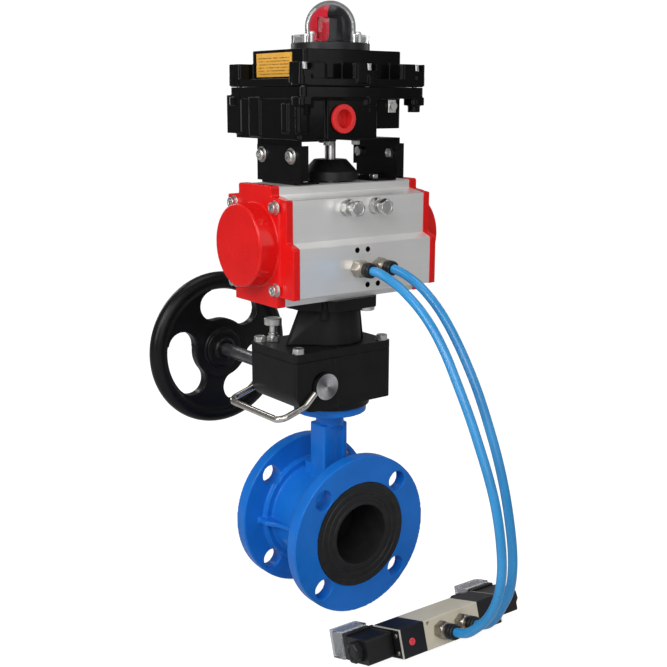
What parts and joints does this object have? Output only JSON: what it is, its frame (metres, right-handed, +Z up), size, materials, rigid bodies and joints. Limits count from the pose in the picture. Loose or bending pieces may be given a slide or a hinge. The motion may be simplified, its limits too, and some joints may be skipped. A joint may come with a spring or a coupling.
{
  "type": "rotary pneumatic actuator with butterfly valve",
  "caption": "Flanged butterfly valve turned by a rack-and-pinion air actuator, with a declutchable hand gearbox, limit switch box and solenoid valve on air tubes.",
  "frame": {"origin": "centre of the front pipe flange's face, on the pipe axis", "axes": "-Y leaves the front flange along the pipe axis, +Y runs into the valve, +Z is up along the stem, +X is along the actuator's long axis"},
  "size_m": [0.2239, 0.3925, 0.5684],
  "materials": {
    "blue_paint": "gloss enamel on cast iron",
    "rubber_seat": "moulded rubber",
    "black_cast": "black coated casting",
    "bright_steel": "bright zinc plated steel",
    "dark_steel": "machined steel",
    "anodised": "brushed hard anodised extrusion",
    "red_cast": "red powder coat on die casting",
    "nickel_brass": "nickel plated brass",
    "black_plastic": "moulded black plastic",
    "black_sheet": "black powder coated sheet",
    "gloss_box": "gloss black coated die casting",
    "red_plug": "moulded red plastic",
    "label": "printed film",
    "clear_dome": "clear polycarbonate",
    "terminal_plastic": "moulded terminal block",
    "ivory_body": "ivory anodised aluminium",
    "clear_smoke": "smoked clear plastic",
    "blue_tube": "polyurethane air tube",
    "disc_coat": "nylon coated iron",
    "bronze": "cast bronze",
    "bearing_plastic": "acetal bush",
    "indicator_plastic": "red and black moulded plastic",
    "red_button": "moulded red plastic",
    "cast_alu": "die cast aluminium"
  },
  "bodies": {
    "root": {"valve_body": "blue_paint", "seat_liner": "rubber_seat", "shaft_bushes": "bearing_plastic", "valve_plugs": "dark_steel", "gearbox_housing": "black_cast", "gearbox_cover": "black_cast", "gearbox_screws": "bright_steel", "lock_pin_guide": "bright_steel", "mounting_tower": "black_cast", "tower_bolts": "bright_steel", "actuator_body": "anodised", "left_end_cap": "red_cast", "right_end_cap": "red_cast", "end_cap_screws": "bright_steel", "stop_bolts": "bright_steel", "push_fittings": "nickel_brass", "fitting_collets": "black_plastic", "lower_brackets": "black_sheet", "upper_brackets": "black_sheet", "bracket_screws": "bright_steel", "switch_housing": "gloss_box", "switch_cover": "gloss_box", "switch_box_bolts": "bright_steel", "conduit_plug": "red_plug", "earth_terminal": "bright_steel", "info_label": "label", "indicator_dome": "clear_dome", "dome_ring": "black_plastic", "microswitches": "black_plastic", "terminal_strip": "terminal_plastic", "solenoid_body": "ivory_body", "pilot_blocks": "black_plastic", "pilot_plates": "nickel_brass", "coils": "black_plastic", "coil_nuts": "black_plastic", "connector_bases": "black_plastic", "connector_covers": "clear_smoke", "connector_glands": "black_plastic", "tube_a": "blue_tube", "tube_b": "blue_tube"},
    "drive": {"disc": "disc_coat", "valve_stem": "dark_steel", "disc_pins": "dark_steel", "worm_wheel": "bronze", "drive_coupling": "dark_steel", "pinion": "dark_steel", "cone_coupler": "black_plastic", "switch_shaft": "bright_steel", "switch_cams": "red_plug", "indicator_rotor": "indicator_plastic"},
    "left_piston_group": {"left_piston": "cast_alu"},
    "right_piston_group": {"right_piston": "cast_alu"},
    "declutch": {"eccentric_sleeve": "bright_steel", "lever_bail": "bright_steel"},
    "hand_drive": {"handwheel": "black_cast", "worm_shaft": "dark_steel"},
    "lock_pin_group": {"lock_pin": "bright_steel"},
    "left_button": {"left_override": "red_button"},
    "right_button": {"right_override": "red_button"},
    "spool_group": {"spool": "bright_steel"}
  },
  "joints": [
    {"name": "output_turn", "type": "hinge", "parent": "root", "child": "drive", "pos_m": [0, 0.05, 0.15], "axis": [0, 0, 1], "range_deg": [0, 90]},
    {"name": "left_piston_slide", "type": "slide", "parent": "root", "child": "left_piston_group", "axis": [-1, 0, 0], "range_m": [0, 0.0236]},
    {"name": "right_piston_slide", "type": "slide", "parent": "root", "child": "right_piston_group", "axis": [1, 0, 0], "range_m": [0, 0.0236]},
    {"name": "declutch_lever", "type": "hinge", "parent": "root", "child": "declutch", "pos_m": [-0.0368, 0.05, 0.1508], "axis": [0, 1, 0], "range_deg": [0, 80]},
    {"name": "handwheel_spin", "type": "hinge", "parent": "declutch", "child": "hand_drive", "pos_m": [-0.039, 0.05, 0.1534], "axis": [0, 1, 0], "continuous": true},
    {"name": "lock_pin_lift", "type": "slide", "parent": "root", "child": "lock_pin_group", "axis": [0, 0, 1], "range_m": [0, 0.006], "stiffness_N_per_m": 300, "springref_m": -0.002},
    {"name": "left_override_press", "type": "slide", "parent": "root", "child": "left_button", "axis": [0.03, 0.9553, -0.294], "range_m": [0, 0.0012], "stiffness_N_per_m": 500, "springref_m": -0.0005},
    {"name": "right_override_press", "type": "slide", "parent": "root", "child": "right_button", "axis": [0.03, 0.9553, -0.294], "range_m": [0, 0.0012], "stiffness_N_per_m": 500, "springref_m": -0.0005},
    {"name": "spool_shift", "type": "slide", "parent": "root", "child": "spool_group", "axis": [0.9995, -0.0314, 0], "range_m": [0, 0.004]}
  ],
  "couplings": [
    {"joint": "left_piston_slide", "follows": "output_turn", "m_per_rad": 0.015},
    {"joint": "right_piston_slide", "follows": "output_turn", "m_per_rad": 0.015}
  ]
}
